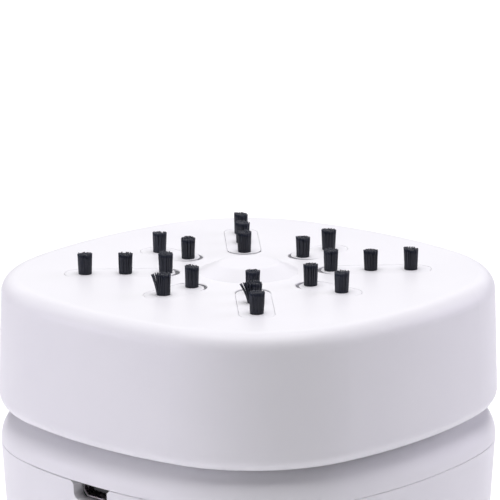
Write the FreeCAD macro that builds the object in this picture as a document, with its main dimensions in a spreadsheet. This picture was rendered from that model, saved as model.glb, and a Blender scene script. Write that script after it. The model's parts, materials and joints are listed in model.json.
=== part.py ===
import FreeCAD, Part
import math
import os
import Sketcher
from types import SimpleNamespace

# Desktop mini vacuum cleaner, millimetres.
# It stands upside down on its flat top cover, brush face up, as it is shown for cleaning.
# The origin is the centre of the face it stands on. The charging port looks along -Y.

DRIVING_SIZES = {
    # Rounded square outline of the dust cup at its brush face
    "half_width": 41.86,
    "side_radius": 87.2,
    "corner_radius": 28.4,
    "body_step": 0.59,
    "cup_flare": 1.97,
    "body_draft": 3.3,
    # Levels above the stand face
    "floor_top": 2.2,
    "seam": 28.7,
    "deck_under": 33.2,
    "deck_top": 34.8,
    "cup_mouth": 35.35,
    "rim_top": 39.75,
    "ceiling": 57.8,
    "brush_face": 60.0,
    "tuft_tip": 64.1,
    # Walls and rounded edges
    "cup_wall": 2.0,
    "shell_wall": 2.35,
    "stand_edge_radius": 5.5,
    "inner_edge_radius": 3.5,
    "seam_edge_radius": 0.2,
    "shoulder_radius": 5.7,
    "cup_edge_radius": 2.7,
    "face_edge_radius": 3.2,
    "weld": 0.2,
    # Fit of the deck in the shell and of the cup on the deck
    "lip_inset": 2.6,
    "lip_width": 1.2,
    "lip_depth": 2.0,
    "lip_gap_half": 6.0,
    "spigot_inset": 5.2,
    "spigot_wall": 1.8,
    "spigot_top": 39.2,
    "mouth_inset": 4.9,
    "seal_height": 0.45,
    "seal_width": 1.0,
    # Charging port
    "port_centre": 0.17,
    "port_width": 8.35,
    "port_depth": 3.4,
    "port_corner": 1.2,
    "port_lead_in": 0.7,
    "socket_width": 7.5,
    "socket_low": 25.55,
    "socket_high": 28.3,
    "socket_front": 40.2,
    "socket_depth": 5.3,
    "socket_wall": 0.3,
    "socket_chamfer": 1.0,
    "tongue_width": 3.8,
    "tongue_set_back": 0.8,
    "tongue_low": 26.8,
    "tongue_high": 27.4,
    # Exhaust slots in the rear wall
    "vent_width": 1.6,
    "vent_low": 11.0,
    "vent_high": 20.0,
    "vent_pitch": 3.6,
    # Brush groups
    "tuft_first": 15.28,
    "tuft_pitch": 7.44,
    "tuft_radius": 1.225,
    "tuft_flare": 1.7,
    "pocket_inner": 12.7,
    "pocket_width": 6.4,
    "pocket_beyond": 3.8,
    "pocket_floor": 57.1,
    "pocket_chamfer": 0.12,
    "chamfer_angle": 45.0,
    "well_wall": 1.2,
    "inlet_ledge": 0.2,
    "base_top": 59.95,
    "base_gap": 0.04,
    "base_start": 13.5,
    # Dome in the middle of the brush face
    "dome_root": 58.3,
    "dome_radius": 9.3,
    "dome_top_radius": 5.4,
    "dome_height": 1.8,
    "dome_edge_radius": 2.16,
    # Filter over the fan intake
    "collar_radius": 15.0,
    "collar_bore": 13.0,
    "collar_top": 38.0,
    "filter_radius": 17.6,
    "filter_low": 34.9,
    "filter_fit": 0.3,
    "filter_step": 38.3,
    "filter_flange_bore": 12.6,
    "filter_cap_radius": 17.2,
    "media_low": 39.3,
    "media_high": 44.2,
    "media_radius": 14.6,
    "media_bore": 12.9,
    "filter_top": 45.4,
    "filter_post_place": 15.9,
    "filter_post_radius": 0.8,
    "intake_inner": 5.5,
    "intake_outer": 11.2,
    "intake_width": 2.4,
    # Fan and motor
    "fan_floor_low": 23.5,
    "fan_floor_top": 24.7,
    "fan_radius": 26.5,
    "fan_wall": 1.4,
    "outlet_half": 9.0,
    "outlet_inner": 20.0,
    "outlet_outer": 30.0,
    "outlet_low": 25.2,
    "outlet_high": 31.7,
    "skirt_radius": 14.4,
    "skirt_wall": 1.2,
    "skirt_low": 14.5,
    "cushion_low": 15.0,
    "cushion_high": 22.5,
    "impeller_radius": 21.5,
    "impeller_low": 26.4,
    "impeller_plate": 1.0,
    "blade_inner": 6.0,
    "blade_outer": 19.5,
    "blade_top": 32.2,
    "blade_width": 1.0,
    "blade_curve": 14.0,
    "hub_radius": 4.5,
    "hub_top": 31.5,
    "shaft_radius": 1.0,
    "shaft_low": 10.3,
    "shaft_top": 31.0,
    "shaft_fit": 0.03,
    "motor_radius": 12.2,
    "motor_wall": 0.8,
    "motor_low": 11.4,
    "motor_cap_radius": 11.8,
    "motor_cap_low": 10.0,
    "motor_boss_radius": 3.6,
    "motor_boss_hole": 3.7,
    "motor_screw_place": 8.0,
    "motor_screw_depth": 2.2,
    "bearing_radius": 2.8,
    "bearing_low": 10.1,
    "magnet_bore": 9.8,
    "magnet_low": 12.8,
    "magnet_high": 21.6,
    "rotor_radius": 9.4,
    "rotor_low": 13.4,
    "rotor_high": 21.0,
    "rotor_slot_inner": 3.5,
    "rotor_slot_outer": 12.0,
    "rotor_slot_half": 1.1,
    "commutator_radius": 2.6,
    "commutator_low": 11.8,
    # Power button and its switch
    "button_radius": 7.5,
    "button_gap": 0.3,
    "button_recess": 0.4,
    "button_flange_radius": 8.8,
    "button_flange_low": 2.3,
    "button_flange_top": 3.3,
    "button_stem_radius": 2.0,
    "button_stem_top": 4.2,
    "plunger_radius": 1.7,
    "plunger_top": 6.4,
    "plunger_hole": 1.75,
    "plunger_hole_top": 7.7,
    "switch_half": 3.0,
    "switch_low": 5.4,
    "switch_board_low": 8.2,
    "switch_board_top": 9.4,
    "switch_board_half": 16.0,
    "switch_board_side": 6.5,
    "switch_screw_place": 13.8,
    "switch_screw_head": 0.8,
    # Charging board
    "board_low": 23.9,
    "board_top": 25.5,
    "board_half": 13.0,
    "board_front": 38.6,
    "board_back": 28.6,
    "board_screw_place": 10.5,
    "board_screw_line": 31.5,
    "board_screw_depth": 4.0,
    "board_post_radius": 1.9,
    "part_inner": 1.5,
    "part_outer": 6.0,
    "part_front": 33.6,
    "part_back": 29.6,
    "chip_height": 1.2,
    "coil_height": 2.0,
    # Cell and its saddle
    "cell_radius": 7.0,
    "cell_half_length": 21.5,
    "cell_offset": 26.0,
    "cell_level": 10.6,
    "saddle_half": 16.0,
    "saddle_side": 6.0,
    "saddle_top": 7.0,
    "saddle_fit": 0.1,
    # Screws, posts and leads
    "post_place": 25.6,
    "post_radius": 3.0,
    "screw_radius": 1.0,
    "screw_gap": 0.05,
    "screw_head_radius": 1.8,
    "screw_head_height": 1.0,
    "small_head_radius": 1.7,
    "deck_screw_head": 1.2,
    "deck_screw_depth": 9.0,
    "lead_radius": 0.55,
}

CORNER_TUFTS = 3
SIDE_TUFTS = 2
CORNER_TURNS = {"right": 45, "back": 135, "left": 225, "front": 315}
SIDE_TURNS = {"right": 0, "back": 90, "left": 180, "port": 270}
QUARTERS = 4
BLADES = 9
INTAKE_SLOTS = 10
VENTS = 9
FILTER_POSTS = 6
ROTOR_SLOT_TURNS = (30, 150, 270)

# Points of the red leads on the right; the black leads mirror them on the left
LEAD_ROUTES = {
    "battery": [(21.5, 20.8, 11.5), (26, 20.8, 11.5), (30, 2, 14),
                (20, -20, 17), (6, -30, 19), (6, -30, 23.9)],
    "motor": [(2.5, -11.85, 10.7), (2.5, -17, 10.7), (2, -27, 15),
              (2, -30, 19.5), (2, -30, 23.9)],
    "switch": [(8, -6.5, 8.8), (8, -14, 8.8), (5, -25, 12),
               (4, -30, 18.5), (4, -30, 23.9)],
}
BEND_SHARE = 0.45  # part of a lead's shorter run that its bend may use

WALL_CLEAR = 3.5  # how far a cutter starts outside a side wall
WALL_CUT = 10  # and how deep it goes
THROUGH = 4  # more than any level wall that is cut right through
OUTER_REACH = 30  # every outer edge lies further than this from the axis
VOLUME_CHANGE = 1e-3
LEVEL_TOLERANCE = 0.01
LEAD_TOLERANCE = 0.02

doc = FreeCAD.newDocument("desktop_vacuum")
sheet = doc.addObject("Spreadsheet::Sheet", "sizes")
sub_parts = []


class Size:
    """A length or angle, with the formula over the sheet's cells that gives it."""

    def __init__(self, formula, value):
        self.formula = formula
        self.value = value

    def __add__(self, other):
        other = as_size(other)
        return Size(f"({self.formula} + {other.formula})", self.value + other.value)

    def __sub__(self, other):
        other = as_size(other)
        return Size(f"({self.formula} - {other.formula})", self.value - other.value)

    def __mul__(self, other):
        other = as_size(other)
        return Size(f"({self.formula} * {other.formula})", self.value * other.value)

    def __truediv__(self, other):
        other = as_size(other)
        return Size(f"({self.formula} / {other.formula})", self.value / other.value)

    def __radd__(self, other):
        return as_size(other) + self

    def __rsub__(self, other):
        return as_size(other) - self

    def __rmul__(self, other):
        return as_size(other) * self

    def __neg__(self):
        return as_size(0) - self


def as_size(number):
    if isinstance(number, Size):
        return number
    return Size(f"({number})", float(number))


def fill_sheet():
    """Write the driving sizes as aliased cells and return them by name."""
    named = {}
    for row, (alias, value) in enumerate(DRIVING_SIZES.items(), 1):
        sheet.set(f"A{row}", alias)
        sheet.set(f"B{row}", str(value))
        sheet.setAlias(f"B{row}", alias)
        named[alias] = Size(f"sizes.{alias}", value)
    doc.recompute()
    return SimpleNamespace(**named)


s = fill_sheet()


# Binding and publishing

def bind(item, prop, length):
    item.setExpression(prop, as_size(length).formula)


def place(item, x, y, z):
    for axis, length in zip("xyz", (x, y, z)):
        bind(item, f"Placement.Base.{axis}", length)


def publish(item, name):
    """Name a finished sub-part and list it for export."""
    item.Label = name
    sub_parts.append(item)
    return item


# Sketches

def origin_feature(body, role):
    return next(item for item in body.Origin.OriginFeatures if item.Role == role)


def add_sketch(body, height=0, plane="XY_Plane", turn=0):
    """Sketch on one of the body's own origin planes, moved along the plane's normal."""
    sketch = body.newObject("Sketcher::SketchObject", f"{body.Name}_sketch")
    sketch.AttachmentSupport = [(origin_feature(body, plane), "")]
    sketch.MapMode = "FlatFace"
    spin = FreeCAD.Rotation(FreeCAD.Vector(0, 0, 1), turn)
    sketch.AttachmentOffset = FreeCAD.Placement(FreeCAD.Vector(), spin)
    bind(sketch, "AttachmentOffset.Base.z", height)
    return sketch


def fix(sketch, kind, *where, length):
    """Add a measured constraint and tie it to the sheet."""
    length = as_size(length)
    index = sketch.addConstraint(Sketcher.Constraint(kind, *where, length.value))
    sketch.setExpression(f"Constraints[{index}]", length.formula)


def fix_point(sketch, geometry, position, x, y):
    fix(sketch, "DistanceX", -1, 1, geometry, position, length=x)
    fix(sketch, "DistanceY", -1, 1, geometry, position, length=y)


def arc(x, y, radius, start, end):
    circle = Part.Circle(FreeCAD.Vector(x, y, 0), FreeCAD.Vector(0, 0, 1), radius)
    return Part.ArcOfCircle(circle, math.radians(start), math.radians(end))


def line(start, end):
    return Part.LineSegment(FreeCAD.Vector(*start, 0), FreeCAD.Vector(*end, 0))


def draw_outline(sketch, inset):
    """Rounded square of eight tangent arcs, moved inwards from the cup's outline by inset."""
    reach = s.side_radius - s.half_width
    side = s.side_radius - inset
    corner = s.corner_radius - inset
    spread = (s.side_radius - s.corner_radius).value
    half_turn = math.acos(reach.value / (spread * math.sqrt(2))) - math.pi / 4
    tilt = math.degrees(half_turn)
    away = spread * math.sin(half_turn)
    arcs = []
    for turn in range(0, 360, 90):
        back = math.radians(turn + 180)
        diagonal = math.radians(turn + 45)
        arcs.append(sketch.addGeometry(arc(
            reach.value * math.cos(back), reach.value * math.sin(back), side.value,
            turn - tilt, turn + tilt)))
        arcs.append(sketch.addGeometry(arc(
            away * math.sqrt(2) * math.cos(diagonal), away * math.sqrt(2) * math.sin(diagonal),
            corner.value, turn + tilt, turn + 90 - tilt)))
    for index, geometry in enumerate(arcs):
        following = arcs[(index + 1) % len(arcs)]
        sketch.addConstraint(Sketcher.Constraint("Tangent", geometry, 2, following, 1))
    right, top, left, bottom = arcs[0::2]
    fix_point(sketch, right, 3, -reach, 0)
    fix_point(sketch, top, 3, 0, -reach)
    fix_point(sketch, left, 3, reach, 0)
    fix_point(sketch, bottom, 3, 0, reach)
    for geometry in arcs[0::2]:
        fix(sketch, "Radius", geometry, length=side)
    for geometry in arcs[1::2]:
        fix(sketch, "Radius", geometry, length=corner)


def draw_circle(sketch, radius, x=0, y=0):
    radius, x, y = as_size(radius), as_size(x), as_size(y)
    centre = FreeCAD.Vector(x.value, y.value, 0)
    circle = sketch.addGeometry(Part.Circle(centre, FreeCAD.Vector(0, 0, 1), radius.value))
    fix(sketch, "Radius", circle, length=radius)
    fix_point(sketch, circle, 3, x, y)


def draw_slot(sketch, start, end, width):
    """Slot with round ends between two end centres."""
    start = [as_size(length) for length in start]
    end = [as_size(length) for length in end]
    radius = as_size(width) / 2
    run = [end[axis].value - start[axis].value for axis in (0, 1)]
    heading = math.degrees(math.atan2(run[1], run[0]))
    side = FreeCAD.Vector(-run[1], run[0], 0).normalize() * radius.value
    a = FreeCAD.Vector(start[0].value, start[1].value, 0)
    b = FreeCAD.Vector(end[0].value, end[1].value, 0)
    loop = [
        sketch.addGeometry(arc(b.x, b.y, radius.value, heading - 90, heading + 90)),
        sketch.addGeometry(Part.LineSegment(b + side, a + side)),
        sketch.addGeometry(arc(a.x, a.y, radius.value, heading + 90, heading + 270)),
        sketch.addGeometry(Part.LineSegment(a - side, b - side)),
    ]
    for index, geometry in enumerate(loop):
        following = loop[(index + 1) % len(loop)]
        sketch.addConstraint(Sketcher.Constraint("Tangent", geometry, 2, following, 1))
    sketch.addConstraint(Sketcher.Constraint("Equal", loop[0], loop[2]))
    fix(sketch, "Radius", loop[0], length=radius)
    fix_point(sketch, loop[0], 3, *end)
    fix_point(sketch, loop[2], 3, *start)


def draw_polygon(sketch, points):
    """Closed chain of straight lines through measured points."""
    points = [(as_size(x), as_size(y)) for x, y in points]
    lines = []
    for index, (x, y) in enumerate(points):
        next_x, next_y = points[(index + 1) % len(points)]
        stretch = line((x.value, y.value), (next_x.value, next_y.value))
        lines.append(sketch.addGeometry(stretch))
    for index, geometry in enumerate(lines):
        following = lines[(index + 1) % len(lines)]
        sketch.addConstraint(Sketcher.Constraint("Coincident", geometry, 2, following, 1))
    for geometry, (x, y) in zip(lines, points):
        fix_point(sketch, geometry, 1, x, y)


def draw_rectangle(sketch, left, right, low, high):
    draw_polygon(sketch, [(left, low), (right, low), (right, high), (left, high)])


# Body features

def new_body(name):
    return doc.addObject("PartDesign::Body", name)


def extrude(body, kind, sketch, length, backwards, draft):
    feature = body.newObject(f"PartDesign::{kind}", f"{body.Name}_{kind.lower()}")
    feature.Profile = sketch
    bind(feature, "Length", length)
    feature.Reversed = backwards
    if draft is not None:
        bind(feature, "TaperAngle", draft)
    doc.recompute()
    return feature


def pad(body, sketch, length, down=False, draft=None):
    """Add material above the sketch, or below it when down."""
    return extrude(body, "Pad", sketch, length, down, draft)


def pocket(body, sketch, length, up=False, draft=None):
    """Cut below the sketch, or above it when up, and make sure that something was cut."""
    before = body.Shape.Volume
    feature = extrude(body, "Pocket", sketch, length, up, draft)
    if feature.Shape.Volume > before - VOLUME_CHANGE:
        raise RuntimeError(f"{feature.Name} cuts nothing")
    return feature


def repeat_round(body, features, count):
    """Repeat features evenly about the vertical axis."""
    pattern = body.newObject("PartDesign::PolarPattern", f"{body.Name}_pattern")
    pattern.Originals = features
    pattern.Axis = (origin_feature(body, "Z_Axis"), [""])
    pattern.Angle = 360
    pattern.Occurrences = count
    body.Tip = pattern
    doc.recompute()
    return pattern


def level_edges(feature, height, reach):
    """Names of the edges that lie level at a height, further than reach from the axis."""
    names = []
    for number, edge in enumerate(feature.Shape.Edges, 1):
        bounds = edge.BoundBox
        off_level = max(abs(bounds.ZMin - height.value), abs(bounds.ZMax - height.value))
        outside = all(math.hypot(end.X, end.Y) > reach for end in edge.Vertexes)
        if off_level < LEVEL_TOLERANCE and outside:
            names.append(f"Edge{number}")
    return names


def round_edges(body, feature, height, radius, reach=OUTER_REACH):
    fillet = body.newObject("PartDesign::Fillet", f"{body.Name}_fillet")
    fillet.Base = (feature, level_edges(feature, as_size(height), reach))
    bind(fillet, "Radius", radius)
    doc.recompute()
    return fillet


# Primitives and booleans

def cylinder(name, radius, low, high, x=0, y=0):
    item = doc.addObject("Part::Cylinder", name)
    bind(item, "Radius", radius)
    bind(item, "Height", as_size(high) - low)
    place(item, x, y, low)
    return item


def box(name, x_span, y_span, z_span):
    item = doc.addObject("Part::Box", name)
    for prop, (low, high) in zip(("Length", "Width", "Height"), (x_span, y_span, z_span)):
        bind(item, prop, as_size(high) - low)
    place(item, x_span[0], y_span[0], z_span[0])
    return item


def cut(name, base, *tools):
    for tool in tools:
        item = doc.addObject("Part::Cut", name)
        item.Base = base
        item.Tool = tool
        base = item
    return base


def fuse(name, *items):
    joined = doc.addObject("Part::MultiFuse", name)
    joined.Shapes = list(items)
    return joined


def group(name, items):
    """Separate solids that are kept as one sub-part."""
    together = doc.addObject("Part::Compound", name)
    together.Links = list(items)
    return together


def tube(name, radius, bore, low, high, x=0, y=0):
    outside = cylinder(f"{name}_outside", radius, low, high, x, y)
    inside = cylinder(f"{name}_bore", bore, low - THROUGH, high + THROUGH, x, y)
    return cut(name, outside, inside)


def mirrored(x, y):
    """A place on the right and its mirror image on the left."""
    return ((x, y), (-x, y))


def pair_of_holes(name, radius, low, high, x, y=0):
    """Two round cutters, one on the right and one on the left."""
    return [cylinder(f"{name}_{index}", radius, low, high, *spot)
            for index, spot in enumerate(mirrored(x, y))]


def screw(name, x, y, seat, depth, head_radius, head_height):
    """Pan head screw that stands on its seat and points down."""
    head = cylinder(f"{name}_head", head_radius, seat, seat + head_height, x, y)
    shank = cylinder(f"{name}_shank", s.screw_radius, seat - depth, seat, x, y)
    return fuse(name, head, shank)


# Casing

def make_main_shell():
    """Tapered cup with the button hole, port notch, exhaust slots and screw posts."""
    body = new_body("main_shell")
    outer = add_sketch(body, s.seam)
    draw_outline(outer, -s.body_step)
    block = pad(body, outer, s.seam, down=True, draft=-s.body_draft)
    rounded = round_edges(body, block, 0, s.stand_edge_radius)
    round_edges(body, rounded, s.seam, s.seam_edge_radius)
    inner = add_sketch(body, s.seam)
    draw_outline(inner, s.shell_wall - s.body_step)
    hollow = pocket(body, inner, s.seam - s.floor_top, draft=-s.body_draft)
    round_edges(body, hollow, s.floor_top, s.inner_edge_radius)

    button_hole = add_sketch(body)
    draw_circle(button_hole, s.button_radius + s.button_gap)
    pocket(body, button_hole, s.floor_top * 2, up=True)

    cut_port(body)
    vents = add_sketch(body, -s.half_width - WALL_CLEAR, plane="XZ_Plane")
    for index in range(VENTS):
        across = s.vent_pitch * (index - (VENTS - 1) / 2)
        draw_slot(vents, (across, s.vent_low), (across, s.vent_high), s.vent_width)
    pocket(body, vents, WALL_CUT, up=True)

    posts = add_sketch(body, s.floor_top - s.weld)
    draw_circle(posts, s.post_radius, s.post_place, s.post_place)
    post = pad(body, posts, s.deck_under - s.floor_top + s.weld)
    holes = add_sketch(body, s.deck_under)
    draw_circle(holes, s.screw_radius + s.screw_gap, s.post_place, s.post_place)
    hole = pocket(body, holes, s.deck_screw_depth)
    repeat_round(body, [post, hole], QUARTERS)

    line_y = -s.board_screw_line
    add_board_posts(body, mirrored(s.board_screw_place, line_y), s.board_low)
    add_board_posts(body, mirrored(s.switch_screw_place, 0), s.switch_board_low)
    publish(body, "main_shell")


def cut_port(body):
    """Notch for the charging socket, open at the seam, with rounded lower corners."""
    wide = s.port_width / 2
    left = s.port_centre - wide
    right = s.port_centre + wide
    low = s.seam - s.port_depth
    bend = low + s.port_corner
    above = s.seam + s.port_lead_in
    notch = add_sketch(body, s.half_width + WALL_CLEAR, plane="XZ_Plane")
    draw_polygon(notch, [
        (right, bend), (right, s.seam - s.port_lead_in), (right + s.port_lead_in, s.seam),
        (right + s.port_lead_in, above), (left - s.port_lead_in, above),
        (left - s.port_lead_in, s.seam), (left, s.seam - s.port_lead_in), (left, bend)])
    pocket(body, notch, WALL_CUT)
    lower = add_sketch(body, s.half_width + WALL_CLEAR, plane="XZ_Plane")
    draw_slot(lower, (left + s.port_corner, bend), (right - s.port_corner, bend),
              s.port_corner * 2)
    pocket(body, lower, WALL_CUT)


def add_board_posts(body, places, top):
    """Pillars with pilot holes that carry a circuit board."""
    pillars = add_sketch(body, s.floor_top - s.weld)
    pilots = add_sketch(body, top)
    for x, y in places:
        draw_circle(pillars, s.board_post_radius, x, y)
        draw_circle(pilots, s.screw_radius + s.screw_gap, x, y)
    pad(body, pillars, top - s.floor_top + s.weld)
    pocket(body, pilots, s.board_screw_depth)


def make_deck():
    """Shouldered lid between shell and cup, with the intake grille and the cup's spigot."""
    body = new_body("deck")
    outer = add_sketch(body, s.seam)
    draw_outline(outer, -s.body_step)
    block = pad(body, outer, s.deck_top - s.seam)
    shoulder = round_edges(body, block, s.deck_top, s.shoulder_radius)
    round_edges(body, shoulder, s.seam, s.seam_edge_radius)
    lip_inside = s.lip_inset + s.lip_width - s.body_step
    under = add_sketch(body, s.seam)
    draw_outline(under, lip_inside)
    pocket(body, under, s.deck_under - s.seam, up=True)

    lip = add_sketch(body, s.seam)
    draw_outline(lip, s.lip_inset - s.body_step)
    draw_outline(lip, lip_inside)
    pad(body, lip, s.lip_depth, down=True)
    clearance = add_sketch(body, s.seam)
    draw_rectangle(clearance, -s.lip_gap_half, s.lip_gap_half,
                   -s.half_width, s.lip_gap_half - s.half_width)
    pocket(body, clearance, s.lip_depth + s.weld)

    spigot = add_sketch(body, s.deck_top)
    draw_outline(spigot, s.spigot_inset)
    draw_outline(spigot, s.spigot_inset + s.spigot_wall)
    pad(body, spigot, s.spigot_top - s.deck_top)
    collar = add_sketch(body, s.deck_top)
    draw_circle(collar, s.collar_radius)
    draw_circle(collar, s.collar_bore)
    pad(body, collar, s.collar_top - s.deck_top)

    grille = add_sketch(body, s.deck_top)
    end_radius = s.intake_width / 2
    draw_slot(grille, (s.intake_inner + end_radius, 0), (s.intake_outer - end_radius, 0),
              s.intake_width)
    slot = pocket(body, grille, THROUGH)
    repeat_round(body, [slot], INTAKE_SLOTS)
    holes = add_sketch(body, s.deck_top)
    draw_circle(holes, s.screw_radius + s.screw_gap * 3, s.post_place, s.post_place)
    hole = pocket(body, holes, THROUGH)
    repeat_round(body, [hole], QUARTERS)
    publish(body, "deck")


def make_cup_seal():
    """Flat silicone ring on the deck, around the spigot."""
    body = new_body("cup_seal")
    ring = add_sketch(body, s.deck_top)
    draw_outline(ring, s.spigot_inset - s.seal_width)
    draw_outline(ring, s.spigot_inset)
    pad(body, ring, s.seal_height)
    publish(body, "cup_seal")


# Dust cup

def pocket_end(tufts):
    """Radius at which the pocket of a group of tufts ends."""
    return s.tuft_first + s.tuft_pitch * (tufts - 1) + s.pocket_beyond


def draw_radial_slot(sketch, inner, outer, width):
    """Slot along the sketch's X axis between two radii."""
    draw_slot(sketch, (inner + width / 2, 0), (outer - width / 2, 0), width)


def add_brush_pockets(body, tufts, turn):
    """Four sunken wells for the brush bases, each with a round inlet through its floor."""
    ends = (s.pocket_inner, pocket_end(tufts))
    well = add_sketch(body, s.pocket_floor - s.well_wall, turn=turn)
    draw_radial_slot(well, ends[0] - s.well_wall, ends[1] + s.well_wall,
                     s.pocket_width + s.well_wall * 2)
    well_pad = pad(body, well, s.ceiling - s.pocket_floor + s.well_wall + s.weld)
    recess = add_sketch(body, s.brush_face, turn=turn)
    draw_radial_slot(recess, ends[0], ends[1], s.pocket_width)
    recess_cut = pocket(body, recess, s.brush_face - s.pocket_floor)
    rim = add_sketch(body, s.brush_face, turn=turn)
    draw_radial_slot(rim, ends[0] - s.pocket_chamfer, ends[1] + s.pocket_chamfer,
                     s.pocket_width + s.pocket_chamfer * 2)
    rim_cut = pocket(body, rim, s.pocket_chamfer, draft=-s.chamfer_angle)
    inlet = add_sketch(body, s.pocket_floor, turn=turn)
    end_radius = s.pocket_width / 2
    draw_circle(inlet, end_radius - s.inlet_ledge, s.pocket_inner + end_radius)
    inlet_cut = pocket(body, inlet, s.well_wall * 2)
    repeat_round(body, [well_pad, recess_cut, rim_cut, inlet_cut], QUARTERS)


def make_dust_cup():
    """Deep cup with a brush face, turned-in rim, brush wells and a low dome."""
    body = new_body("dust_cup")
    mouth = add_sketch(body, s.brush_face)
    draw_outline(mouth, 0)
    block = pad(body, mouth, s.brush_face - s.cup_mouth, down=True, draft=s.cup_flare)
    top = round_edges(body, block, s.brush_face, s.face_edge_radius)
    round_edges(body, top, s.cup_mouth, s.cup_edge_radius)
    chamber = add_sketch(body, s.rim_top)
    draw_outline(chamber, s.cup_wall)
    pocket(body, chamber, s.ceiling - s.rim_top, up=True)
    opening = add_sketch(body, s.cup_mouth)
    draw_outline(opening, s.mouth_inset)
    pocket(body, opening, s.rim_top - s.cup_mouth, up=True)
    add_brush_pockets(body, CORNER_TUFTS, CORNER_TURNS["right"])
    add_brush_pockets(body, SIDE_TUFTS, SIDE_TURNS["right"])
    add_dome(body)
    publish(body, "dust_cup")


def add_dome(body):
    """Low dome with a rounded crest, turned about the cup's axis."""
    profile = add_sketch(body, plane="XZ_Plane")
    crest = s.brush_face + s.dome_height
    draw_polygon(profile, [
        (0, s.dome_root), (s.dome_radius, s.dome_root), (s.dome_radius, s.brush_face),
        (s.dome_top_radius, crest), (0, crest)])
    dome = body.newObject("PartDesign::Revolution", "dust_cup_dome")
    dome.Profile = profile
    dome.ReferenceAxis = (profile, ["V_Axis"])
    dome.Angle = 360
    doc.recompute()
    round_edges(body, dome, crest, s.dome_edge_radius, reach=s.dome_top_radius.value / 2)


def make_brush(name, tufts, turn):
    """One brush: a base strip that leaves an air gap at its inner end, and the tufts."""
    spin = FreeCAD.Placement(FreeCAD.Vector(), FreeCAD.Rotation(FreeCAD.Vector(0, 0, 1), turn))
    base = new_body(f"{name}_brush_base")
    strip = add_sketch(base, s.pocket_floor)
    draw_radial_slot(strip, s.base_start, pocket_end(tufts) - s.base_gap,
                     s.pocket_width - s.base_gap * 2)
    pad(base, strip, s.base_top - s.pocket_floor)
    base.Placement = spin
    publish(base, f"{name}_brush_base")

    bristles = new_body(f"{name}_tufts")
    feet = add_sketch(bristles, s.base_top)
    for index in range(tufts):
        draw_circle(feet, s.tuft_radius, s.tuft_first + s.tuft_pitch * index)
    pad(bristles, feet, s.tuft_tip - s.base_top, draft=s.tuft_flare)
    bristles.Placement = spin
    publish(bristles, f"{name}_tufts")


def make_brushes():
    for side, turn in CORNER_TURNS.items():
        make_brush(f"{side}_corner", CORNER_TUFTS, turn)
    for side, turn in SIDE_TURNS.items():
        make_brush(f"{side}_side", SIDE_TUFTS, turn)


# Filter

def make_filter():
    """Cage that slips over the deck's collar, with a ring of filter cloth inside."""
    skirt = tube("filter_skirt", s.filter_radius, s.collar_radius + s.filter_fit,
                 s.filter_low, s.filter_step)
    flange = tube("filter_flange", s.filter_radius, s.filter_flange_bore, s.filter_step,
                  s.media_low)
    cap = cylinder("filter_cap", s.filter_cap_radius, s.media_high, s.filter_top)
    posts = []
    for index in range(FILTER_POSTS):
        turn = 2 * math.pi * index / FILTER_POSTS
        x = s.filter_post_place * round(math.cos(turn), 6)
        y = s.filter_post_place * round(math.sin(turn), 6)
        posts.append(cylinder(f"filter_post_{index}", s.filter_post_radius, s.media_low,
                              s.media_high, x, y))
    publish(fuse("filter_frame_solid", skirt, flange, cap, *posts), "filter_frame")
    publish(tube("filter_cloth", s.media_radius, s.media_bore, s.media_low, s.media_high),
            "filter_media")


# Fan and motor

def make_fan_housing():
    """Round housing under the deck, with a skirt that grips the motor and one outlet."""
    floor = cylinder("fan_floor", s.fan_radius, s.fan_floor_low, s.fan_floor_top)
    wall = tube("fan_ring", s.fan_radius, s.fan_radius - s.fan_wall, s.fan_floor_top, s.deck_under)
    skirt = tube("fan_skirt", s.skirt_radius, s.skirt_radius - s.skirt_wall,
                 s.skirt_low, s.fan_floor_low)
    boss_hole = cylinder("fan_boss_hole", s.motor_boss_hole, s.skirt_low, s.deck_under)
    outlet = box("fan_outlet", (-s.outlet_half, s.outlet_half),
                 (s.outlet_inner, s.outlet_outer), (s.outlet_low, s.outlet_high))
    holes = pair_of_holes("fan_screw_hole", s.screw_radius + s.screw_gap, s.skirt_low,
                          s.deck_under, s.motor_screw_place)
    joined = fuse("fan_joined", floor, wall, skirt)
    publish(cut("fan_housing_solid", joined, boss_hole, outlet, *holes), "fan_housing")


def make_motor():
    """Flat direct current motor: can, end cap, magnet, bearings and their screws."""
    top_low = s.fan_floor_low - s.motor_wall
    can = fuse(
        "can_joined",
        cylinder("can_round", s.motor_radius, s.motor_low, s.fan_floor_low),
        cylinder("can_boss", s.motor_boss_radius, s.fan_floor_low, s.fan_floor_top))
    hollow = cylinder("can_hollow", s.motor_radius - s.motor_wall, s.motor_cap_low, top_low)
    bore = cylinder("can_bore", s.bearing_radius, s.motor_low, s.impeller_low)
    holes = pair_of_holes("can_screw_hole", s.screw_radius + s.screw_gap, s.motor_low,
                          s.impeller_low, s.motor_screw_place)
    publish(cut("can_solid", can, hollow, bore, *holes), "motor_can")
    publish(tube("end_cap_solid", s.motor_cap_radius, s.bearing_radius, s.motor_cap_low,
                 s.motor_low), "motor_end_cap")
    publish(tube("magnet_ring", s.motor_radius - s.motor_wall, s.magnet_bore, s.magnet_low,
                 s.magnet_high), "motor_magnet")
    shaft_bore = s.shaft_radius + s.shaft_fit
    bearings = [
        tube("upper_bearing", s.bearing_radius, shaft_bore, top_low, s.fan_floor_top),
        tube("lower_bearing", s.bearing_radius, shaft_bore, s.bearing_low, s.motor_low)]
    publish(group("bearing_pair", bearings), "motor_bearings")
    publish(tube("cushion_ring", s.skirt_radius - s.skirt_wall, s.motor_radius,
                 s.cushion_low, s.cushion_high), "motor_cushion")
    screws = [screw(f"motor_screw_{index}", x, y, s.fan_floor_top, s.motor_screw_depth,
                    s.small_head_radius, s.screw_head_height)
              for index, (x, y) in enumerate(mirrored(s.motor_screw_place, 0))]
    publish(group("motor_screw_pair", screws), "motor_screws")


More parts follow.
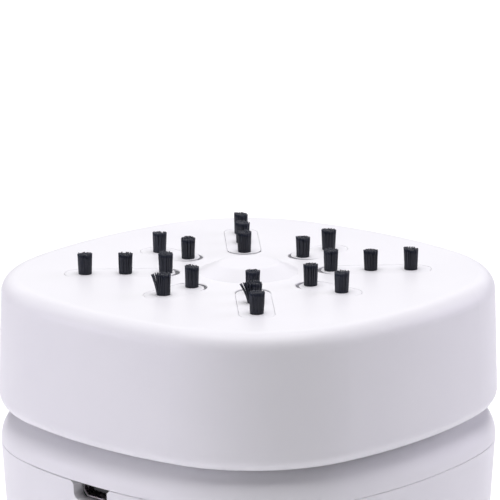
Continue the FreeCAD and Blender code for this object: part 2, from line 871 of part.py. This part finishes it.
def make_rotor():
    """Shaft with the slotted iron core and the commutator."""
    publish(cylinder("shaft_solid", s.shaft_radius, s.shaft_low, s.shaft_top), "motor_shaft")
    core = tube("rotor_core", s.rotor_radius, s.shaft_radius, s.rotor_low, s.rotor_high)
    slots = []
    for turn in ROTOR_SLOT_TURNS:
        slot = box(f"rotor_slot_{turn}", (s.rotor_slot_inner, s.rotor_slot_outer),
                   (-s.rotor_slot_half, s.rotor_slot_half), (s.motor_low, s.fan_floor_low))
        spin = FreeCAD.Rotation(FreeCAD.Vector(0, 0, 1), turn)
        start = FreeCAD.Vector(s.rotor_slot_inner.value, -s.rotor_slot_half.value, 0)
        corner = spin.multVec(start)
        slot.Placement.Rotation = spin
        place(slot, corner.x, corner.y, s.motor_low)
        slots.append(slot)
    publish(cut("rotor_solid", core, *slots), "motor_rotor")
    publish(tube("commutator_ring", s.commutator_radius, s.shaft_radius, s.commutator_low,
                 s.rotor_low), "commutator")


def draw_blade(sketch):
    """Curved blade between two concentric arcs, running outwards along the sketch's Y axis."""
    middle = (s.blade_inner + s.blade_outer) / 2
    half_run = (s.blade_outer - s.blade_inner).value / 2
    radii = (s.blade_curve + s.blade_width / 2, s.blade_curve - s.blade_width / 2)
    shapes = []
    for radius in radii:
        rise = math.degrees(math.asin(half_run / radius.value))
        shapes.append(arc(-s.blade_curve.value, middle.value, radius.value, -rise, rise))
    outer, inner = [sketch.addGeometry(shape) for shape in shapes]
    foot = sketch.addGeometry(Part.LineSegment(shapes[0].StartPoint, shapes[1].StartPoint))
    tip = sketch.addGeometry(Part.LineSegment(shapes[0].EndPoint, shapes[1].EndPoint))
    for edge, end in ((foot, 1), (tip, 2)):
        sketch.addConstraint(Sketcher.Constraint("Coincident", edge, 1, outer, end))
        sketch.addConstraint(Sketcher.Constraint("Coincident", edge, 2, inner, end))
    for geometry, radius in zip((outer, inner), radii):
        fix(sketch, "Radius", geometry, length=radius)
        fix_point(sketch, geometry, 3, -s.blade_curve, middle)
        fix(sketch, "DistanceY", -1, 1, geometry, 1, length=s.blade_inner)
        fix(sketch, "DistanceY", -1, 1, geometry, 2, length=s.blade_outer)


def make_impeller():
    """Back plate, hub and curved blades."""
    body = new_body("impeller")
    plate = add_sketch(body, s.impeller_low)
    draw_circle(plate, s.impeller_radius)
    pad(body, plate, s.impeller_plate)
    hub = add_sketch(body, s.impeller_low)
    draw_circle(hub, s.hub_radius)
    pad(body, hub, s.hub_top - s.impeller_low)
    blade = add_sketch(body, s.impeller_low)
    draw_blade(blade)
    vane = pad(body, blade, s.blade_top - s.impeller_low)
    repeat_round(body, [vane], BLADES)
    bore = add_sketch(body, s.hub_top)
    draw_circle(bore, s.shaft_radius)
    pocket(body, bore, s.hub_top - s.fan_floor_top)
    publish(body, "impeller")


# Button and switch

def make_button():
    """Round button with a flange behind the shell's floor, and the switch that it presses."""
    cap = cylinder("button_cap", s.button_radius, s.button_recess, s.button_flange_low)
    flange = cylinder("button_flange", s.button_flange_radius, s.button_flange_low,
                      s.button_flange_top)
    stem = cylinder("button_stem", s.button_stem_radius, s.button_flange_top, s.button_stem_top)
    publish(fuse("button_solid", cap, flange, stem), "power_button")
    publish(cylinder("plunger_solid", s.plunger_radius, s.button_stem_top, s.plunger_top),
            "switch_plunger")
    side = (-s.switch_half, s.switch_half)
    case = box("switch_case", side, side, (s.switch_low, s.switch_board_low))
    hole = cylinder("switch_hole", s.plunger_hole, s.button_stem_top, s.plunger_hole_top)
    publish(cut("switch_solid", case, hole), "switch_body")


def make_switch_board():
    board = box("switch_board_blank", (-s.switch_board_half, s.switch_board_half),
                (-s.switch_board_side, s.switch_board_side),
                (s.switch_board_low, s.switch_board_top))
    holes = pair_of_holes("switch_board_hole", s.screw_radius + s.screw_gap * 2, s.switch_low,
                          s.motor_cap_low, s.switch_screw_place)
    publish(cut("switch_board_solid", board, *holes), "switch_board")
    screws = [screw(f"switch_board_screw_{index}", x, y, s.switch_board_top,
                    s.board_screw_depth, s.small_head_radius, s.switch_screw_head)
              for index, (x, y) in enumerate(mirrored(s.switch_screw_place, 0))]
    publish(group("switch_screw_pair", screws), "switch_board_screws")


# Charging board, socket and cell

def make_charge_board():
    board = box("charge_board_blank", (-s.board_half, s.board_half),
                (-s.board_front, -s.board_back), (s.board_low, s.board_top))
    holes = pair_of_holes("charge_board_hole", s.screw_radius + s.screw_gap * 2, s.fan_floor_low,
                          s.socket_high, s.board_screw_place, -s.board_screw_line)
    publish(cut("charge_board_solid", board, *holes), "charge_board")
    screws = [screw(f"charge_board_screw_{index}", x, y, s.board_top, s.board_screw_depth,
                    s.screw_head_radius, s.screw_head_height)
              for index, (x, y) in enumerate(mirrored(s.board_screw_place, -s.board_screw_line))]
    publish(group("charge_screw_pair", screws), "charge_board_screws")
    depth = (-s.part_front, -s.part_back)
    chip = box("charge_chip", (-s.part_outer, -s.part_inner), depth,
               (s.board_top, s.board_top + s.chip_height))
    coil = box("charge_coil", (s.part_inner, s.part_outer), depth,
               (s.board_top, s.board_top + s.coil_height))
    publish(group("board_parts", [chip, coil]), "board_components")


def draw_socket_section(sketch, shrink):
    """Five-sided socket mouth, wide towards the seam, drawn in from its outside by shrink."""
    left = s.port_centre - s.socket_width / 2 + shrink
    right = s.port_centre + s.socket_width / 2 - shrink
    low = s.socket_low + shrink
    high = s.socket_high - shrink
    chamfer = s.socket_chamfer
    draw_polygon(sketch, [
        (right - chamfer, low), (right, low + chamfer), (right, high),
        (left, high), (left, low + chamfer), (left + chamfer, low)])


def make_socket():
    """Charging socket: a folded metal shell with a contact tongue."""
    body = new_body("usb_receptacle")
    section = add_sketch(body, s.socket_front, plane="XZ_Plane")
    draw_socket_section(section, 0)
    pad(body, section, s.socket_depth, down=True)
    mouth = add_sketch(body, s.socket_front, plane="XZ_Plane")
    draw_socket_section(mouth, s.socket_wall)
    pocket(body, mouth, s.socket_depth - s.socket_wall)
    publish(body, "usb_receptacle")
    half = s.tongue_width / 2
    publish(box("tongue_solid", (s.port_centre - half, s.port_centre + half),
                (s.tongue_set_back - s.socket_front,
                 s.socket_depth - s.socket_wall - s.socket_front),
                (s.tongue_low, s.tongue_high)), "usb_tongue")


def lying_cylinder(name, radius, half_length, y, z):
    """Cylinder along X, centred on the plane between left and right."""
    item = doc.addObject("Part::Cylinder", name)
    bind(item, "Radius", radius)
    bind(item, "Height", half_length * 2)
    item.Placement.Rotation = FreeCAD.Rotation(FreeCAD.Vector(0, 1, 0), 90)
    place(item, -half_length, y, z)
    return item


def make_cell():
    """Rechargeable cell lying along X behind the motor, in a saddle on the shell's floor."""
    publish(lying_cylinder("cell_solid", s.cell_radius, s.cell_half_length, s.cell_offset,
                           s.cell_level), "battery_cell")
    saddle = box("saddle_block", (-s.saddle_half, s.saddle_half),
                 (s.cell_offset - s.saddle_side, s.cell_offset + s.saddle_side),
                 (s.floor_top, s.saddle_top))
    seat = lying_cylinder("saddle_seat", s.cell_radius + s.saddle_fit, s.cell_half_length,
                          s.cell_offset, s.cell_level)
    publish(cut("saddle_solid", saddle, seat), "battery_holder")


def make_deck_screws():
    screws = []
    for index, (side, front) in enumerate(((1, 1), (-1, 1), (-1, -1), (1, -1))):
        screws.append(screw(f"deck_screw_{index}", s.post_place * side, s.post_place * front,
                            s.deck_top, s.deck_screw_depth, s.small_head_radius,
                            s.deck_screw_head))
    publish(group("deck_screw_set", screws), "deck_screws")


# Leads

def rounded_path(points):
    """Straight runs joined by arcs that are as large as the runs beside them allow."""
    corners = [FreeCAD.Vector(*point) for point in points]
    edges = []
    start = corners[0]
    for before, corner, after in zip(corners, corners[1:], corners[2:]):
        arrive = (corner - before).normalize()
        leave = (after - corner).normalize()
        reach = BEND_SHARE * min(before.distanceToPoint(corner), corner.distanceToPoint(after))
        first = corner - arrive * reach
        last = corner + leave * reach
        half_turn = arrive.getAngle(leave) / 2
        radius = reach / math.tan(half_turn)
        bisector = (leave - arrive).normalize()
        centre = corner + bisector * (radius / math.cos(half_turn))
        edges.append(Part.LineSegment(start, first).toShape())
        edges.append(Part.Arc(first, centre - bisector * radius, last).toShape())
        start = last
    edges.append(Part.LineSegment(start, corners[-1]).toShape())
    return Part.Wire(edges)


def make_lead(name, points):
    """Insulated wire along a route inside the shell."""
    path = rounded_path(points)
    heading = FreeCAD.Vector(*points[1]) - FreeCAD.Vector(*points[0])
    ring = Part.Wire(Part.makeCircle(s.lead_radius.value, FreeCAD.Vector(*points[0]), heading))
    lead = doc.addObject("Part::Feature", f"{name}_solid")
    lead.Shape = path.makePipeShell([ring], True, False)
    expected = math.pi * s.lead_radius.value ** 2 * path.Length
    if abs(lead.Shape.Volume / expected - 1) > LEAD_TOLERANCE:
        raise RuntimeError(f"{name} has the wrong volume")
    publish(lead, name)


def make_leads():
    """Two wires each from the cell, the motor and the switch board to the charging board."""
    for name, route in LEAD_ROUTES.items():
        make_lead(f"{name}_lead_red", route)
        make_lead(f"{name}_lead_black", [(-x, y, z) for x, y, z in route])


def check_document():
    """Stop on any failed object or any sub-part that isn't whole."""
    failed = [item.Name for item in doc.Objects
              if "Invalid" in item.State or "Error" in item.State]
    if failed:
        raise RuntimeError(f"failed objects: {failed}")
    for item in sub_parts:
        if item.Shape.isNull() or not item.Shape.isValid() or not item.Shape.Solids:
            raise RuntimeError(f"{item.Label} isn't a valid solid")


def write_parts():
    os.makedirs("parts", exist_ok=True)
    for item in sub_parts:
        item.Shape.exportStep(f"parts/{item.Label}.step")
        bounds = item.Shape.BoundBox
        print(f"{item.Label}: {len(item.Shape.Solids)} solids, {item.Shape.Volume:.1f} mm3, "
              f"z {bounds.ZMin:.2f} to {bounds.ZMax:.2f}")


make_main_shell()
make_deck()
make_cup_seal()
make_dust_cup()
make_brushes()
make_filter()
make_fan_housing()
make_motor()
make_rotor()
make_impeller()
make_button()
make_switch_board()
make_charge_board()
make_socket()
make_cell()
make_deck_screws()
make_leads()
doc.recompute()
check_document()
write_parts()
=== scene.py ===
import json
import math
import random

import bpy
from mathutils import Matrix, Vector


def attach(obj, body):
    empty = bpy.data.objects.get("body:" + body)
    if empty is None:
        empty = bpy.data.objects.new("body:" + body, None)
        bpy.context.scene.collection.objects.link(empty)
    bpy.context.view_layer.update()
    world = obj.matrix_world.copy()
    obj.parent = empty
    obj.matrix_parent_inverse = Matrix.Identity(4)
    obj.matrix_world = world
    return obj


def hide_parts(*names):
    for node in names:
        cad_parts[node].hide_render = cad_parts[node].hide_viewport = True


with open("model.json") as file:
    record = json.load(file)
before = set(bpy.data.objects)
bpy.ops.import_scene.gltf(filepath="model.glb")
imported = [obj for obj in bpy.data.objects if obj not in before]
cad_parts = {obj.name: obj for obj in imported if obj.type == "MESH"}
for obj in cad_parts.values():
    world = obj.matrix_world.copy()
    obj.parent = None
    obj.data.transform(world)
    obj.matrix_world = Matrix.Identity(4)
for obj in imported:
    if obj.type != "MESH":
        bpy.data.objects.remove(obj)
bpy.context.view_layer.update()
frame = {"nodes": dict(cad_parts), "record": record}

MM = 0.001
SEED = 7

# Camera, fitted to the photograph: it looks at the middle of the brush face
FACE_CENTRE = Vector((0, 0, 60.0)) * MM
CAMERA_AZIMUTH = math.radians(42.23)
CAMERA_ELEVATION = math.radians(14.23)
CAMERA_DISTANCE = 600.4 * MM
AIM_RIGHT = math.radians(0.030)
AIM_UP = math.radians(0.371)
CAMERA_ROLL = math.radians(-0.130)
LENS_MM = 233.6
SENSOR_MM = 36.0
CLIP_START = 10 * MM

# Lamps: name, azimuth counted from the camera, elevation, width, height, power, colour
LAMPS = [
    ("left_strip", -75, 5, 0.8, 0.1, 2.84, (1.03, 0.972, 1.15)),
    ("right_softbox", 105, 15, 0.6, 0.6, 2.72, (1.04, 0.967, 1.19)),
    ("back_softbox", 180, 45, 0.8, 0.6, 1.40, (1.0, 1.0, 1.0)),
    ("back_low_softbox", 180, 20, 1.0, 0.4, 0.86, (1.0, 1.0, 1.0)),
    ("top_softbox", 0, 88, 0.8, 0.8, 9.60, (1.01, 0.99, 1.03)),
]
LAMP_TARGET = Vector((0, 0, 35.0)) * MM
LAMP_DISTANCE = 0.9
WORLD_STRENGTH = 0.01
FLOOR_COLOUR = (0.93, 0.93, 0.93, 1)
FLOOR_ROUGHNESS = 0.9
FLOOR_REACH = 6.0
FLOOR_GLOW = 0.16
# The floor fades to white between these distances from the object, in metres
FLOOR_FADE_START = 0.35
FLOOR_FADE_END = 1.4

# Brush groups: the tufts of the CAD part, row by row outwards from the middle
TUFT_FIRST = 15.28 * MM
TUFT_PITCH = 7.44 * MM
TUFT_RADIUS = 1.225 * MM
TUFT_FOOT = 59.75 * MM
TUFT_TIP = 64.05 * MM
TUFT_SPREAD = 1.10  # how much wider a tuft is at its cut end
FILAMENT_RADIUS = 0.12 * MM
FILAMENT_SIDES = 6
FILAMENT_STEPS = 5
FILAMENT_SPACING = 2.1  # between neighbours in a tuft, in radii
RING_TWIST = 0.37  # turn of each ring of filaments against the next, in filaments
# How uneven a tuft is; the lengths are in millimetres
CUT_SLOPE = 0.09
CUT_SHORTENING = (0.05, 0.35)
FOLD_WIDTH = 0.45
FOLD_DEPTH = 0.12
LENGTH_SPREAD = 0.09
LEAN_SPREAD = 0.05
BOW_SPREAD = 0.03

# Filter cloth ring of the CAD part
FILTER_LOW = 39.32 * MM
FILTER_HIGH = 44.18 * MM
FILTER_BORE = 12.95 * MM
FILTER_RADIUS = 14.55 * MM
CLOTH = 0.35 * MM
PLEATS = 64
POINTS_PER_PLEAT = 4

# Heading of each brush in degrees, and its number of tufts
GROUPS = {
    "right_corner": (45, 3),
    "back_corner": (135, 3),
    "left_corner": (225, 3),
    "front_corner": (315, 3),
    "right_side": (0, 2),
    "back_side": (90, 2),
    "left_side": (180, 2),
    "port_side": (270, 2),
}
# Worn tufts, counted outwards from 0: how far their outermost strands are pushed over
SPLAY_REACH = {("port_side", 1): 1.2 * MM, ("front_corner", 1): 1.7 * MM}
SPLAY = Vector((-0.74, -0.67, 0))
SPLAY_START = 0.25  # strands nearer to the middle than this share of the radius stay upright
SPLAY_LEAST = 0.7  # smallest share of the reach that chance leaves to a pushed strand
SPLAY_SAG = 0.25  # bow and drop of a pushed strand, as a share of its reach

# Materials: the part of a noise that is used, and how much it changes
NOISE_LOW = 0.3
NOISE_HIGH = 0.7
DRIFT_SCALE = 60
GRAIN_STRENGTH = 0.25
PLASTIC_GLOSS_SPREAD = 0.1
METAL_GLOSS_SPREAD = 0.25


# Materials

def new_material(name):
    """A material with its nodes, its links and its shader."""
    material = bpy.data.materials.new(name)
    material.use_nodes = True
    nodes = material.node_tree.nodes
    return material, nodes, material.node_tree.links, nodes["Principled BSDF"]


def add_noise(nodes, links, scale, detail=3.0):
    """Noise in the object's own coordinates, in cycles per metre."""
    place = nodes.new("ShaderNodeTexCoord")
    noise = nodes.new("ShaderNodeTexNoise")
    noise.inputs["Scale"].default_value = scale
    noise.inputs["Detail"].default_value = detail
    links.new(place.outputs["Object"], noise.inputs["Vector"])
    return noise


def vary(nodes, links, noise, low, high, target):
    """Spread a noise between two values and feed it to a socket."""
    spread = nodes.new("ShaderNodeMapRange")
    spread.inputs["From Min"].default_value = NOISE_LOW
    spread.inputs["From Max"].default_value = NOISE_HIGH
    spread.inputs["To Min"].default_value = low
    spread.inputs["To Max"].default_value = high
    links.new(noise.outputs["Fac"], spread.inputs["Value"])
    links.new(spread.outputs["Result"], target)


def vary_colour(nodes, links, noise, first, second, target):
    """Blend two colours by a noise and feed the result to a socket."""
    ramp = nodes.new("ShaderNodeValToRGB")
    ramp.color_ramp.elements[0].position = NOISE_LOW
    ramp.color_ramp.elements[1].position = NOISE_HIGH
    ramp.color_ramp.elements[0].color = (*first, 1)
    ramp.color_ramp.elements[1].color = (*second, 1)
    links.new(noise.outputs["Fac"], ramp.inputs["Fac"])
    links.new(ramp.outputs["Color"], target)


def add_bump(nodes, links, noise, distance, strength, target):
    """Let a noise raise and lower the surface by a distance."""
    bump = nodes.new("ShaderNodeBump")
    bump.inputs["Strength"].default_value = strength
    bump.inputs["Distance"].default_value = distance
    links.new(noise.outputs["Fac"], bump.inputs["Height"])
    links.new(bump.outputs["Normal"], target)


def moulded_plastic(name, first, second, roughness, grain=9000, depth=0.01 * MM, shine=0.5):
    """Moulded plastic: a fine grain, slightly uneven gloss and a faint drift of colour."""
    material, nodes, links, shader = new_material(name)
    drift = add_noise(nodes, links, DRIFT_SCALE)
    fine = add_noise(nodes, links, grain)
    vary_colour(nodes, links, drift, first, second, shader.inputs["Base Color"])
    vary(nodes, links, drift, roughness * (1 - PLASTIC_GLOSS_SPREAD),
         roughness * (1 + PLASTIC_GLOSS_SPREAD), shader.inputs["Roughness"])
    shader.inputs["Specular IOR Level"].default_value = shine
    add_bump(nodes, links, fine, depth, GRAIN_STRENGTH, shader.inputs["Normal"])
    return material


def metal(name, first, second, roughness, grain=4000):
    """Bare metal with a fine change of colour and gloss."""
    material, nodes, links, shader = new_material(name)
    shader.inputs["Metallic"].default_value = 1.0
    drift = add_noise(nodes, links, grain)
    vary_colour(nodes, links, drift, first, second, shader.inputs["Base Color"])
    vary(nodes, links, drift, roughness * (1 - METAL_GLOSS_SPREAD),
         roughness * (1 + METAL_GLOSS_SPREAD), shader.inputs["Roughness"])
    return material


def make_materials():
    """One material for each of the record's slots."""
    return {
        "white_abs": moulded_plastic("white_abs", (0.80, 0.80, 0.815), (0.815, 0.815, 0.825), 0.36,
                                     depth=0.005 * MM, shine=0.22),
        "white_strip": moulded_plastic("white_strip", (0.78, 0.78, 0.80), (0.80, 0.80, 0.81), 0.42,
                                       depth=0.005 * MM, shine=0.22),
        "black_bristle": moulded_plastic("black_bristle", (0.005, 0.007, 0.014),
                                         (0.020, 0.025, 0.042), 0.32, grain=3000),
        "grey_plastic": moulded_plastic("grey_plastic", (0.10, 0.10, 0.11), (0.12, 0.12, 0.13), 0.5),
        "filter_cloth": moulded_plastic("filter_cloth", (0.55, 0.55, 0.53), (0.66, 0.66, 0.64), 0.9,
                                        grain=6000, depth=0.05 * MM),
        "seal_rubber": moulded_plastic("seal_rubber", (0.50, 0.50, 0.52), (0.55, 0.55, 0.57), 0.6),
        "black_rubber": moulded_plastic("black_rubber", (0.01, 0.01, 0.01), (0.02, 0.02, 0.02), 0.7),
        "steel": metal("steel", (0.42, 0.42, 0.43), (0.55, 0.55, 0.56), 0.32),
        "socket_metal": metal("socket_metal", (0.58, 0.55, 0.56), (0.68, 0.65, 0.66), 0.24),
        "bronze": metal("bronze", (0.45, 0.26, 0.09), (0.55, 0.33, 0.13), 0.35),
        "magnet": moulded_plastic("magnet", (0.02, 0.02, 0.02), (0.04, 0.04, 0.04), 0.55),
        "black_plastic": moulded_plastic("black_plastic", (0.008, 0.008, 0.008),
                                         (0.016, 0.016, 0.016), 0.45),
        "board_green": moulded_plastic("board_green", (0.005, 0.07, 0.025), (0.008, 0.10, 0.035),
                                       0.35, grain=2500),
        "cell_wrap": moulded_plastic("cell_wrap", (0.02, 0.10, 0.30), (0.03, 0.13, 0.36), 0.25),
        "red_lead": moulded_plastic("red_lead", (0.40, 0.01, 0.01), (0.48, 0.02, 0.02), 0.4),
        "black_lead": moulded_plastic("black_lead", (0.01, 0.01, 0.01), (0.02, 0.02, 0.02), 0.4),
    }


def dress_nodes(materials):
    """Give every CAD node the material of its slot in the record."""
    for row in frame["record"]["subparts"]:
        mesh = frame["nodes"][row["node"]].data
        mesh.materials.clear()
        mesh.materials.append(materials[row["material_slot"]])


# Bristles

def add_filament(vertices, faces, foot, tip, bow, radius):
    """Bent round filament: rings along a curve from its foot to its tip, closed at the tip."""
    rings = []
    for step in range(FILAMENT_STEPS + 1):
        along = step / FILAMENT_STEPS
        centre = foot.lerp(tip, along) + bow * (math.sin(math.pi * along) * 0.5)
        start = len(vertices)
        for side in range(FILAMENT_SIDES):
            turn = 2 * math.pi * side / FILAMENT_SIDES
            vertices.append(centre + Vector((math.cos(turn), math.sin(turn), 0)) * radius)
        rings.append(range(start, start + FILAMENT_SIDES))
    for lower, upper in zip(rings, rings[1:]):
        for side in range(FILAMENT_SIDES):
            following = (side + 1) % FILAMENT_SIDES
            faces.append((lower[side], lower[following], upper[following], upper[side]))
    faces.append(tuple(rings[-1]))
    faces.append(tuple(reversed(rings[0])))


def tuft_places():
    """Places of one tuft's filaments, packed in rings round its middle."""
    spacing = FILAMENT_RADIUS * FILAMENT_SPACING
    rings = int((TUFT_RADIUS - FILAMENT_RADIUS) / spacing)
    places = [Vector((0, 0, 0))]
    for ring in range(1, rings + 1):
        radius = (TUFT_RADIUS - FILAMENT_RADIUS) * ring / rings
        count = int(2 * math.pi * radius / spacing)
        for index in range(count):
            turn = 2 * math.pi * (index + RING_TWIST * ring) / count
            places.append(Vector((math.cos(turn), math.sin(turn), 0)) * radius)
    return places


def tuft_filaments(vertices, faces, centre, reach, chance):
    """Fill one tuft with filaments: two folded halves, cut off almost level.

    In a worn tuft the strands on one side are pushed over by up to the reach."""
    fold = chance.uniform(0, math.pi)
    across = Vector((math.cos(fold), math.sin(fold), 0))
    slope = Vector((chance.uniform(-CUT_SLOPE, CUT_SLOPE),
                    chance.uniform(-CUT_SLOPE, CUT_SLOPE), 0))
    cut = chance.uniform(*CUT_SHORTENING) * MM
    for place in tuft_places():
        side = place.dot(across)
        notch = max(0.0, 1 - abs(side) / (FOLD_WIDTH * MM)) * FOLD_DEPTH * MM
        height = TUFT_TIP - TUFT_FOOT - cut + place.dot(slope) - notch
        height -= abs(chance.gauss(0, LENGTH_SPREAD)) * MM
        lean = place * (TUFT_SPREAD - 1)
        lean += Vector((chance.gauss(0, LEAN_SPREAD), chance.gauss(0, LEAN_SPREAD), 0)) * MM
        bow = Vector((chance.gauss(0, BOW_SPREAD), chance.gauss(0, BOW_SPREAD), 0)) * MM
        push = max(0.0, place.dot(SPLAY) / TUFT_RADIUS - SPLAY_START) / (1 - SPLAY_START)
        if reach and push:
            push *= chance.uniform(SPLAY_LEAST, 1.0)
            lean += SPLAY * (reach * push)
            bow -= SPLAY * (reach * SPLAY_SAG * push)
            height -= reach * SPLAY_SAG * push * push
        foot = centre + place
        tip = foot + lean + Vector((0, 0, height))
        add_filament(vertices, faces, foot, tip, bow, FILAMENT_RADIUS)


def make_bristles(name, heading, tufts, material):
    """All the filaments of one brush as one piece."""
    chance = random.Random(f"{SEED} {name}")
    turn = math.radians(heading)
    outwards = Vector((math.cos(turn), math.sin(turn), 0))
    vertices = []
    faces = []
    for index in range(tufts):
        centre = outwards * (TUFT_FIRST + TUFT_PITCH * index) + Vector((0, 0, TUFT_FOOT))
        tuft_filaments(vertices, faces, centre, SPLAY_REACH.get((name, index), 0), chance)
    mesh = bpy.data.meshes.new(f"{name}_bristles")
    mesh.from_pydata(vertices, [], faces)
    mesh.shade_smooth()
    mesh.materials.append(material)
    piece = bpy.data.objects.new(f"{name}_bristles", mesh)
    bpy.context.scene.collection.objects.link(piece)
    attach(piece, "cup")
    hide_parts(f"{name}_tufts")


# Filter cloth

def make_filter_cloth(material):
    """Pleated ring of filter cloth that fills the place of the plain ring."""
    vertices = []
    faces = []
    points = PLEATS * POINTS_PER_PLEAT
    for level in (FILTER_LOW, FILTER_HIGH):
        for skin in (0, 1):
            for index in range(points):
                turn = 2 * math.pi * index / points
                wave = 0.5 + 0.5 * math.cos(2 * math.pi * index * PLEATS / points)
                radius = FILTER_BORE + (FILTER_RADIUS - FILTER_BORE - CLOTH) * wave + CLOTH * skin
                vertices.append((radius * math.cos(turn), radius * math.sin(turn), level))
    for index in range(points):
        after = (index + 1) % points
        low_in, low_out, high_in, high_out = [ring * points for ring in range(4)]
        faces.append((low_out + index, low_out + after, high_out + after, high_out + index))
        faces.append((low_in + after, low_in + index, high_in + index, high_in + after))
        faces.append((high_in + index, high_out + index, high_out + after, high_in + after))
        faces.append((low_in + after, low_out + after, low_out + index, low_in + index))
    mesh = bpy.data.meshes.new("filter_cloth")
    mesh.from_pydata(vertices, [], faces)
    mesh.materials.append(material)
    piece = bpy.data.objects.new("filter_cloth", mesh)
    bpy.context.scene.collection.objects.link(piece)
    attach(piece, "filter")
    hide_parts("filter_media")


# Stage

def make_floor():
    """Pale floor that keeps the object's shadow and fades to white far from it.

    Its glow is seen by the camera only and gives the object no light."""
    material, nodes, links, shader = new_material("floor")
    shader.inputs["Base Color"].default_value = FLOOR_COLOUR
    shader.inputs["Roughness"].default_value = FLOOR_ROUGHNESS
    glow = nodes.new("ShaderNodeEmission")
    rays = nodes.new("ShaderNodeLightPath")
    place = nodes.new("ShaderNodeTexCoord")
    distance = nodes.new("ShaderNodeVectorMath")
    distance.operation = "LENGTH"
    links.new(place.outputs["Object"], distance.inputs[0])
    far = nodes.new("ShaderNodeMapRange")
    far.inputs["From Min"].default_value = FLOOR_FADE_START
    far.inputs["From Max"].default_value = FLOOR_FADE_END
    far.inputs["To Min"].default_value = FLOOR_GLOW
    far.inputs["To Max"].default_value = 1.0
    links.new(distance.outputs["Value"], far.inputs["Value"])
    scale = nodes.new("ShaderNodeMath")
    scale.operation = "MULTIPLY"
    links.new(rays.outputs["Is Camera Ray"], scale.inputs[0])
    links.new(far.outputs["Result"], scale.inputs[1])
    links.new(scale.outputs[0], glow.inputs["Strength"])
    both = nodes.new("ShaderNodeAddShader")
    links.new(shader.outputs["BSDF"], both.inputs[0])
    links.new(glow.outputs["Emission"], both.inputs[1])
    links.new(both.outputs["Shader"], nodes["Material Output"].inputs["Surface"])
    mesh = bpy.data.meshes.new("floor")
    corners = [(-FLOOR_REACH, -FLOOR_REACH, 0), (FLOOR_REACH, -FLOOR_REACH, 0),
               (FLOOR_REACH, FLOOR_REACH, 0), (-FLOOR_REACH, FLOOR_REACH, 0)]
    mesh.from_pydata(corners, [], [(0, 1, 2, 3)])
    mesh.materials.append(material)
    floor = bpy.data.objects.new("floor", mesh)
    bpy.context.scene.collection.objects.link(floor)


def make_world(strength):
    """Surroundings that look white to the camera and give the object a little even light."""
    world = bpy.data.worlds.new("surroundings")
    world.use_nodes = True
    bpy.context.scene.world = world
    nodes = world.node_tree.nodes
    links = world.node_tree.links
    light = nodes["Background"]
    light.inputs["Color"].default_value = (1, 1, 1, 1)
    rays = nodes.new("ShaderNodeLightPath")
    spread = nodes.new("ShaderNodeMapRange")
    spread.inputs["To Min"].default_value = strength
    spread.inputs["To Max"].default_value = 1.0
    links.new(rays.outputs["Is Camera Ray"], spread.inputs["Value"])
    links.new(spread.outputs["Result"], light.inputs["Strength"])


def camera_axes():
    """Forward, right and up of the camera, worked out from the fitted angles."""
    back = Vector((math.sin(CAMERA_AZIMUTH) * math.cos(CAMERA_ELEVATION),
                   -math.cos(CAMERA_AZIMUTH) * math.cos(CAMERA_ELEVATION),
                   math.sin(CAMERA_ELEVATION)))
    azimuth = CAMERA_AZIMUTH - AIM_RIGHT
    elevation = CAMERA_ELEVATION - AIM_UP
    forward = -Vector((math.sin(azimuth) * math.cos(elevation),
                       -math.cos(azimuth) * math.cos(elevation), math.sin(elevation)))
    right = forward.cross(Vector((0, 0, 1))).normalized()
    up = right.cross(forward)
    turned_right = right * math.cos(CAMERA_ROLL) + up * math.sin(CAMERA_ROLL)
    turned_up = up * math.cos(CAMERA_ROLL) - right * math.sin(CAMERA_ROLL)
    return back, forward, turned_right, turned_up


def make_camera():
    """Camera with the photograph's view of the object."""
    back, forward, right, up = camera_axes()
    camera = bpy.data.objects.new("camera", bpy.data.cameras.new("camera"))
    camera.data.lens = LENS_MM
    camera.data.sensor_width = SENSOR_MM
    camera.data.clip_start = CLIP_START
    place = Matrix((right, up, -forward)).transposed().to_4x4()
    place.translation = FACE_CENTRE + back * CAMERA_DISTANCE
    camera.matrix_world = place
    bpy.context.scene.collection.objects.link(camera)
    bpy.context.scene.camera = camera


def add_softbox(name, azimuth, elevation, width, height, power, colour):
    """Soft rectangular lamp that faces the object. Azimuth is counted from the camera's side."""
    turn = CAMERA_AZIMUTH + math.radians(azimuth)
    rise = math.radians(elevation)
    away = Vector((math.sin(turn) * math.cos(rise), -math.cos(turn) * math.cos(rise),
                   math.sin(rise)))
    lamp = bpy.data.lights.new(name, "AREA")
    lamp.shape = "RECTANGLE"
    lamp.size = width
    lamp.size_y = height
    lamp.energy = power
    lamp.color = colour
    softbox = bpy.data.objects.new(name, lamp)
    softbox.location = LAMP_TARGET + away * LAMP_DISTANCE
    softbox.rotation_euler = (-away).to_track_quat("-Z", "Y").to_euler()
    bpy.context.scene.collection.objects.link(softbox)


def make_lights():
    """Soft studio light: a low strip on the left, a softbox on the right, two behind, one above."""
    make_world(WORLD_STRENGTH)
    for name, azimuth, elevation, width, height, power, colour in LAMPS:
        add_softbox(name, azimuth, elevation, width, height, power, colour)


materials = make_materials()
dress_nodes(materials)
for group_name, (heading, tufts) in GROUPS.items():
    make_bristles(group_name, heading, tufts, materials["black_bristle"])
make_filter_cloth(materials["filter_cloth"])
make_floor()
make_lights()
make_camera()
bpy.context.scene.view_settings.view_transform = "Standard"
